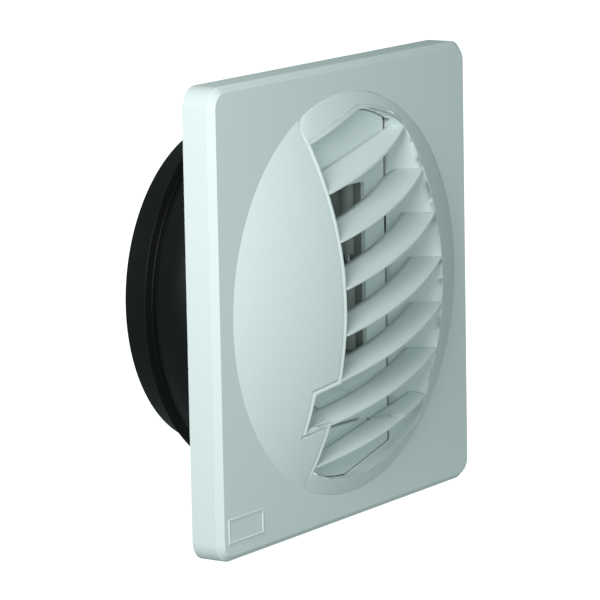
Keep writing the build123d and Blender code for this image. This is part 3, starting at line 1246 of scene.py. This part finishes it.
    def hooks(self) -> BMesh:
        """Shape the three snap hooks under the rim.

        Returns:
            Closed hooks that reach behind the seat ring.
        """
        bm = bmesh.new()
        section = [spot(radius, -self.hook_width / 2, out) for radius, out in self.hook_profile]
        for angle in self.hook_angles:
            chain = draw_chain(bm, section, closed=True)
            face = bmesh.ops.contextual_create(bm, geom=chain)["faces"]
            far = extrude_faces(bm, face, (0, 0, self.hook_width))
            turn = Matrix.Rotation(radians(-angle), 3, "Y")
            bmesh.ops.rotate(bm, verts=chain + far, cent=(0, 0, 0), matrix=turn)
        close_and_orient(bm)
        return bm

    def build(self, palette: Palette) -> list[bpy.types.Object]:
        """Make the grille's pieces.

        Args:
            palette: The finishes.

        Returns:
            The rim with its walls and floor, the slats and the hooks.
        """
        rim = Piece("grille_rim", Slot.WHITE, "grille").finish(self.skin(), palette)
        # The rim's cut edges take the dark plastic, painted shade along the seam and at the floor's edge.
        thicken(rim, self.wall, palette.painted_shade)
        soften(rim, self.edge_round, flat=False)
        slats = Piece("grille_slats", Slot.WHITE, "grille").finish(self.slats(), palette)
        soften(slats, self.slat_round, choice=Choice.WEIGHTED)
        hooks = Piece("grille_hooks", Slot.WHITE, "grille").finish(self.hooks(), palette)
        soften(hooks, self.hook_round, segments=2)
        return [rim, slats, hooks]


@dataclass
class RubberSleeve:
    """Black sleeve round the duct tube: collar, hollow bulge, thin sealing lip and plain end."""

    inner: float = 56.1
    radius: float = 58.0
    start: float = -2.0
    end: float = 43.0
    collar: float = 59.2
    collar_end: float = 5.0
    bulge: float = 65.4
    bulge_at: float = 18.5
    lip: float = 66.0
    lip_at: float = 29.0
    lip_thickness: float = 1.4
    hollow_depth: float = 1.9
    edge_round: float = 0.35
    bulge_steps: int = 22
    lip_steps: int = 10
    hollow_steps: int = 14
    steps: int = 192

    @staticmethod
    def through(first: Point, middle: Point, last: Point, steps: int) -> list[Point]:
        """Points on the arc through three points, both ends included.

        Args:
            first: Where the arc starts.
            middle: A point that it passes.
            last: Where it ends.
            steps: The number of straight runs.

        Returns:
            Points as radius and depth.
        """
        corners = [Vector(point) for point in (first, middle, last)]
        double = x = y = 0.0
        for corner, after, before in zip(corners, corners[1:] + corners[:1], corners[2:] + corners[:2]):
            double += 2 * corner.x * (after.y - before.y)
            x += corner.length_squared * (after.y - before.y)
            y += corner.length_squared * (before.x - after.x)
        x, y = x / double, y / double
        size = hypot(first[0] - x, first[1] - y)
        begin, passing, turn = [atan2(corner.y - y, corner.x - x) for corner in corners]
        passing = (passing - begin) % (2 * pi)
        turn = (turn - begin) % (2 * pi)
        if passing > turn:
            turn -= 2 * pi
        angles = [begin + turn * step / steps for step in range(steps + 1)]
        return [(x + size * cos(angle), y + size * sin(angle)) for angle in angles]

    def profile(self) -> list[Point]:
        """The sleeve's section, all the way round.

        Returns:
            Points as radius and depth into the wall.
        """
        groove = (self.lip - 2 * self.lip_thickness, self.lip_at - self.lip_thickness)
        back = self.lip_at + 2 * self.lip_thickness
        bend = (self.radius + 3 * self.lip_thickness, self.lip_at + 1.5 * self.lip_thickness)
        points = [(self.inner, self.start), (self.collar, self.start)]
        collar = (self.collar, self.collar_end)
        points += self.through(collar, (self.bulge, self.bulge_at), groove, self.bulge_steps)
        points += self.through((self.lip, self.lip_at), bend, (self.radius, back), self.lip_steps)
        points += [(self.radius, self.end), (self.inner, self.end)]
        hollow = (self.bulge - self.hollow_depth, self.bulge_at)
        points += self.through((self.inner, self.lip_at), hollow, (self.inner, self.collar_end),
                               self.hollow_steps)
        return points

    def build(self, palette: Palette) -> list[bpy.types.Object]:
        """Make the sleeve.

        Args:
            palette: The finishes.

        Returns:
            The sleeve alone, in a list.
        """
        bm = bmesh.new()
        section = [spot(radius, 0.0, -depth) for radius, depth in self.profile()]
        spin_section(bm, section, spot(0, 0, 0), self.steps)
        close_and_orient(bm)
        sleeve = Piece("duct_sleeve", Slot.RUBBER, "rubber_sleeve").finish(bm, palette)
        soften(sleeve, self.edge_round)
        return [sleeve]


@dataclass
class InnerWorks:
    """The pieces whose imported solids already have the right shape."""

    finishes: tuple[tuple[str, Slot], ...] = (
        ("rear_body", Slot.WHITE),
        ("plate_screws", Slot.ZINC),
        ("regulator_cover", Slot.INNER),
        ("regulator_housing", Slot.INNER),
        ("housing_screws", Slot.ZINC),
        ("regulator_flap", Slot.INNER),
        ("flap_pin", Slot.SPRING),
        ("flap_spring", Slot.SPRING),
        ("stop_pads", Slot.RUBBER),
    )
    # The housing and the flap take the dark plastic, which paints the shade deep inside the valve.
    painted_shade: tuple[str, ...] = ("regulator_housing", "regulator_flap")

    def build(self, palette: Palette) -> list[bpy.types.Object]:
        """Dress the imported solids.

        Args:
            palette: The finishes.

        Returns:
            The dressed objects.
        """
        dressed = []
        for node, slot in self.finishes:
            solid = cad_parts[node]
            solid.material_slots[0].material = palette.painted_shade if node in self.painted_shade else palette[slot]
            dressed.append(solid)
        return dressed


@dataclass(frozen=True)
class Lamp:
    """A round soft light that looks at the origin."""

    name: str
    direction: tuple[float, float, float]
    distance: float
    size: float
    power: float
    colour: tuple[float, float, float]

    def hang(self) -> None:
        """Put the light in the scene."""
        way = Vector(self.direction).normalized()
        data = bpy.data.lights.new(self.name, "AREA")
        data.shape = "DISK"
        data.size = self.size
        data.energy = self.power
        data.color = self.colour
        lamp = bpy.data.objects.new(self.name, data)
        turn = way.to_track_quat("Z", "Y").to_matrix().to_4x4()
        lamp.matrix_world = Matrix.Translation(way * self.distance) @ turn
        bpy.context.scene.collection.objects.link(lamp)


LAMPS = (
    Lamp("key", (-0.88, -0.3, 0.4), distance=0.6, size=0.3, power=2.3, colour=(0.97, 0.985, 1.0)),
    Lamp("fill", (-0.64, -0.75, 0.15), distance=1.5, size=0.8, power=2.6, colour=(0.89, 1.0, 0.995)),
)


@dataclass
class Studio:
    """Camera, soft light and a pale floor."""

    side: float
    azimuth: float = 56.233
    elevation: float = 10.067
    roll: float = 1.081
    distance: float = 8.6894
    across: float = 0.04308
    up: float = 0.02074
    lens: float = 240.0
    sensor: float = 36.0
    sight: float = 60.0
    floor_level: float = -0.62
    floor_radius: float = 14.0
    floor_steps: int = 96
    floor_colour: tuple[float, float, float] = (0.85, 0.85, 0.85)
    floor_roughness: float = 0.9
    glow_fade: tuple[float, float] = (0.9, 1.9)
    even_light: tuple[float, float, float] = (0.24, 0.312, 0.3)

    def camera(self) -> None:
        """Set the camera at the photograph's angle."""
        turn = (Matrix.Rotation(radians(self.roll), 3, "Z")
                @ Matrix.Rotation(radians(self.elevation), 3, "X")
                @ Matrix.Rotation(radians(self.azimuth), 3, "Y"))
        to_plate = Matrix(((1, 0, 0), (0, 0, 1), (0, -1, 0)))
        axes = (turn @ to_plate).transposed()
        offset = Vector((-self.across, -self.up, self.distance)) * self.side * MM
        data = bpy.data.cameras.new("camera")
        data.lens = self.lens
        data.sensor_width = self.sensor
        data.clip_end = self.sight
        camera = bpy.data.objects.new("camera", data)
        camera.matrix_world = Matrix.Translation(axes @ offset) @ axes.to_4x4()
        bpy.context.scene.collection.objects.link(camera)
        bpy.context.scene.camera = camera

    def surroundings(self) -> None:
        """Light the room evenly, and give the camera a white background."""
        world = bpy.data.worlds.new("studio")
        bpy.context.scene.world = world
        world.use_nodes = True
        tree = world.node_tree
        ambient = tree.nodes["Background"]
        set_inputs(ambient, {"Color": (*self.even_light, 1.0)})
        seen = add_node(tree, "ShaderNodeBackground", {"Color": FULL_WHITE})
        path = add_node(tree, "ShaderNodeLightPath")
        mix = add_node(tree, "ShaderNodeMixShader")
        wire(path, "Is Camera Ray", mix, "Fac")
        wire(ambient, "Background", mix, 1)
        wire(seen, "Background", mix, 2)
        wire(mix, "Shader", tree.nodes["World Output"], "Surface")

    def floor(self) -> None:
        """Lay the pale floor, which glows white away from the object."""
        bm = bmesh.new()
        bmesh.ops.create_circle(bm, cap_ends=True, segments=self.floor_steps, radius=self.floor_radius)
        bmesh.ops.translate(bm, verts=bm.verts, vec=(0, 0, self.floor_level))
        mesh = bpy.data.meshes.new("floor")
        bm.to_mesh(mesh)
        bm.free()
        material = bpy.data.materials.new("pale_floor")
        material.use_nodes = True
        tree = material.node_tree
        shader = tree.nodes["Principled BSDF"]
        set_inputs(shader, {"Base Color": (*self.floor_colour, 1.0), "Roughness": self.floor_roughness,
                            "Emission Color": FULL_WHITE})
        place = add_node(tree, "ShaderNodeTexCoord")
        length = add_node(tree, "ShaderNodeVectorMath", operation="LENGTH")
        reach = dict(zip(("From Min", "From Max"), self.glow_fade))
        fade = add_node(tree, "ShaderNodeMapRange", reach, interpolation_type="SMOOTHSTEP")
        path = add_node(tree, "ShaderNodeLightPath")
        glow = add_node(tree, "ShaderNodeMath", operation="MULTIPLY")
        wire(place, "Object", length, 0)
        wire(length, "Value", fade, "Value")
        wire(fade, "Result", glow, 0)
        wire(path, "Is Camera Ray", glow, 1)
        wire(glow, "Value", shader, "Emission Strength")
        mesh.materials.append(material)
        floor = bpy.data.objects.new("floor", mesh)
        bpy.context.scene.collection.objects.link(floor)

    def build(self) -> None:
        """Set up everything that isn't part of the object."""
        bpy.context.scene.view_settings.view_transform = "Standard"
        self.camera()
        for lamp in LAMPS:
            lamp.hang()
        self.surroundings()
        self.floor()


def main() -> None:
    """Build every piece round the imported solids, then the studio."""
    logging.basicConfig(level=logging.INFO, format="%(name)s: %(message)s")
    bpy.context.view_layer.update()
    low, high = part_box("face_plate")
    side = (high.x - low.x) / MM
    palette = Palette()
    dome = Dome()
    seam = Seam(dome)
    for part in (FacePlate(dome, seam, side), Grille(dome, seam), RubberSleeve(), InnerWorks()):
        for piece in part.build(palette):
            LOG.info("%s: %s with %d vertices", type(part).__name__, piece.name, len(piece.data.vertices))
    Studio(side).build()


if __name__ == "__main__":
    main()
